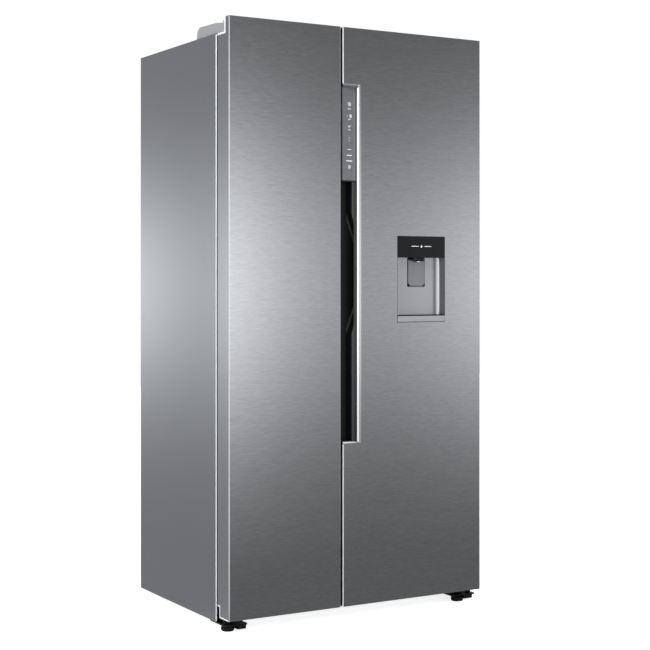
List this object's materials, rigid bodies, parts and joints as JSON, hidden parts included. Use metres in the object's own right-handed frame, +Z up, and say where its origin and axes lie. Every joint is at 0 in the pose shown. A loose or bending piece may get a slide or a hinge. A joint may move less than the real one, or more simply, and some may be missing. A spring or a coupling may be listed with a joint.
{
  "type": "side by side refrigerator",
  "caption": "Tall two-door refrigerator with a narrow freezer door, a wide fresh-food door, a recessed grip channel between them, a control panel and a water dispenser niche.",
  "frame": {"origin": "centre of the footprint, on the floor", "axes": "+X to the right seen from the front, +Y towards the back, +Z up"},
  "size_m": [0.908, 0.6482, 1.811],
  "materials": {
    "brushed_front": "horizontally brushed stainless sheet",
    "side_paint": "smooth grey paint",
    "zinc_sheet": "galvanised sheet",
    "black_steel": "black painted steel",
    "hinge_steel": "zinc plated steel",
    "liner_white": "white moulded plastic",
    "cap_grey": "pale grey moulded plastic",
    "cover_grey": "grey moulded plastic",
    "grip_black": "black moulded plastic",
    "bright_trim": "bright bevelled trim",
    "panel_silver": "silver lacquered plastic",
    "niche_silver": "silver lacquered plastic",
    "fascia_black": "gloss black plastic",
    "shelf_glass": "clear tempered glass",
    "clear_plastic": "clear moulded plastic",
    "trim_silver": "silver grey plastic",
    "seal_grey": "soft grey seal",
    "insulation": "rigid polyurethane foam",
    "machine_black": "black painted steel",
    "coil_steel": "black painted tube",
    "evaporator_alu": "bare aluminium tube and fins",
    "rubber_black": "black rubber",
    "fan_plastic": "natural white plastic",
    "motor": "painted motor can",
    "foot_black": "black plastic",
    "roller_grey": "grey plastic",
    "lamp_lens": "frosted diffuser",
    "gauze_grey": "grey plastic"
  },
  "bodies": {
    "cabinet": {"cabinet_case": "side_paint", "cabinet_foam": "insulation", "freezer_liner": "liner_white", "fridge_liner": "liner_white", "front_rail": "side_paint", "base_pan": "zinc_sheet", "back_panel": "zinc_sheet", "machine_cover": "zinc_sheet", "compressor": "machine_black", "compressor_mounts": "rubber_black", "condenser_coil": "coil_steel", "fan_shroud": "gauze_grey", "fan_motors": "motor", "drain_pan": "gauze_grey", "evaporator": "evaporator_alu", "evaporator_cover": "liner_white", "fridge_air_duct": "liner_white", "lamp_lenses": "lamp_lens", "cord_gland": "rubber_black", "glass_shelves": "shelf_glass", "shelf_trims": "trim_silver", "top_hinges": "hinge_steel", "hinge_covers": "cover_grey", "lower_hinges": "black_steel", "roller_brackets": "zinc_sheet"},
    "freezer_door": {"freezer_door_skin": "brushed_front", "freezer_door_foam": "insulation", "freezer_door_liner": "liner_white", "freezer_door_top_cap": "cap_grey", "freezer_door_bottom_cap": "cap_grey", "freezer_door_gasket": "seal_grey", "freezer_door_handle": "grip_black", "freezer_door_bins": "clear_plastic"},
    "fridge_door": {"fridge_door_skin": "brushed_front", "fridge_door_foam": "insulation", "fridge_door_liner": "liner_white", "fridge_door_top_cap": "cap_grey", "fridge_door_bottom_cap": "cap_grey", "fridge_door_gasket": "seal_grey", "fridge_door_handle": "grip_black", "fridge_door_bins": "clear_plastic", "handle_trim": "bright_trim", "control_panel": "panel_silver", "dispenser_housing": "niche_silver", "dispenser_fascia": "fascia_black", "dispenser_nozzle": "fascia_black", "water_tank": "clear_plastic"},
    "dispenser_paddle": {"dispenser_paddle": "niche_silver"},
    "drip_tray": {"drip_tray": "niche_silver"},
    "tank_lid": {"tank_lid": "liner_white"},
    "freezer_drawer_upper": {"freezer_drawer_upper": "clear_plastic"},
    "freezer_drawer_lower": {"freezer_drawer_lower": "clear_plastic"},
    "crisper_upper": {"crisper_upper": "clear_plastic"},
    "crisper_lower": {"crisper_lower": "clear_plastic"},
    "front_foot_left": {"front_foot_left": "foot_black"},
    "front_foot_right": {"front_foot_right": "foot_black"},
    "rear_roller_left": {"rear_roller_left": "roller_grey"},
    "rear_roller_right": {"rear_roller_right": "roller_grey"},
    "condenser_fan": {"condenser_fan": "fan_plastic"},
    "evaporator_fan": {"evaporator_fan": "fan_plastic"}
  },
  "joints": [
    {"name": "freezer_door_hinge", "type": "hinge", "parent": "cabinet", "child": "freezer_door", "pos_m": [-0.439, -0.2729, 1.77], "axis": [0, 0, -1], "range_deg": [0, 120]},
    {"name": "fridge_door_hinge", "type": "hinge", "parent": "cabinet", "child": "fridge_door", "pos_m": [0.439, -0.2729, 1.77], "axis": [0, 0, 1], "range_deg": [0, 120]},
    {"name": "paddle_pivot", "type": "hinge", "parent": "fridge_door", "child": "dispenser_paddle", "pos_m": [0.2237, -0.2869, 1.101], "axis": [1, 0, 0], "range_deg": [0, 10], "stiffness_Nm_per_rad": 0.6},
    {"name": "drip_tray_slide", "type": "slide", "parent": "fridge_door", "child": "drip_tray", "axis": [0, -1, 0], "range_m": [0, 0.06]},
    {"name": "tank_lid_hinge", "type": "hinge", "parent": "fridge_door", "child": "tank_lid", "pos_m": [0.18575, -0.2474, 1.3383], "axis": [1, 0, 0], "range_deg": [0, 70]},
    {"name": "freezer_drawer_upper_slide", "type": "slide", "parent": "cabinet", "child": "freezer_drawer_upper", "axis": [0, -1, 0], "range_m": [0, 0.02]},
    {"name": "freezer_drawer_lower_slide", "type": "slide", "parent": "cabinet", "child": "freezer_drawer_lower", "axis": [0, -1, 0], "range_m": [0, 0.02]},
    {"name": "crisper_upper_slide", "type": "slide", "parent": "cabinet", "child": "crisper_upper", "axis": [0, -1, 0], "range_m": [0, 0.02]},
    {"name": "crisper_lower_slide", "type": "slide", "parent": "cabinet", "child": "crisper_lower", "axis": [0, -1, 0], "range_m": [0, 0.02]},
    {"name": "front_foot_left_screw", "type": "hinge", "parent": "cabinet", "child": "front_foot_left", "pos_m": [-0.429, -0.2649, 0.022], "axis": [0, 0, 1], "continuous": true},
    {"name": "front_foot_right_screw", "type": "hinge", "parent": "cabinet", "child": "front_foot_right", "pos_m": [0.393, -0.2789, 0.022], "axis": [0, 0, 1], "continuous": true},
    {"name": "rear_roller_left_axle", "type": "hinge", "parent": "cabinet", "child": "rear_roller_left", "pos_m": [-0.394, 0.2541, 0.017], "axis": [1, 0, 0], "continuous": true},
    {"name": "rear_roller_right_axle", "type": "hinge", "parent": "cabinet", "child": "rear_roller_right", "pos_m": [0.394, 0.2541, 0.017], "axis": [1, 0, 0], "continuous": true},
    {"name": "condenser_fan_spin", "type": "hinge", "parent": "cabinet", "child": "condenser_fan", "pos_m": [0.105, 0.2371, 0.1392], "axis": [1, 0, 0], "continuous": true},
    {"name": "evaporator_fan_spin", "type": "hinge", "parent": "cabinet", "child": "evaporator_fan", "pos_m": [-0.25025, 0.2181, 0.774], "axis": [0, 1, 0], "continuous": true}
  ]
}
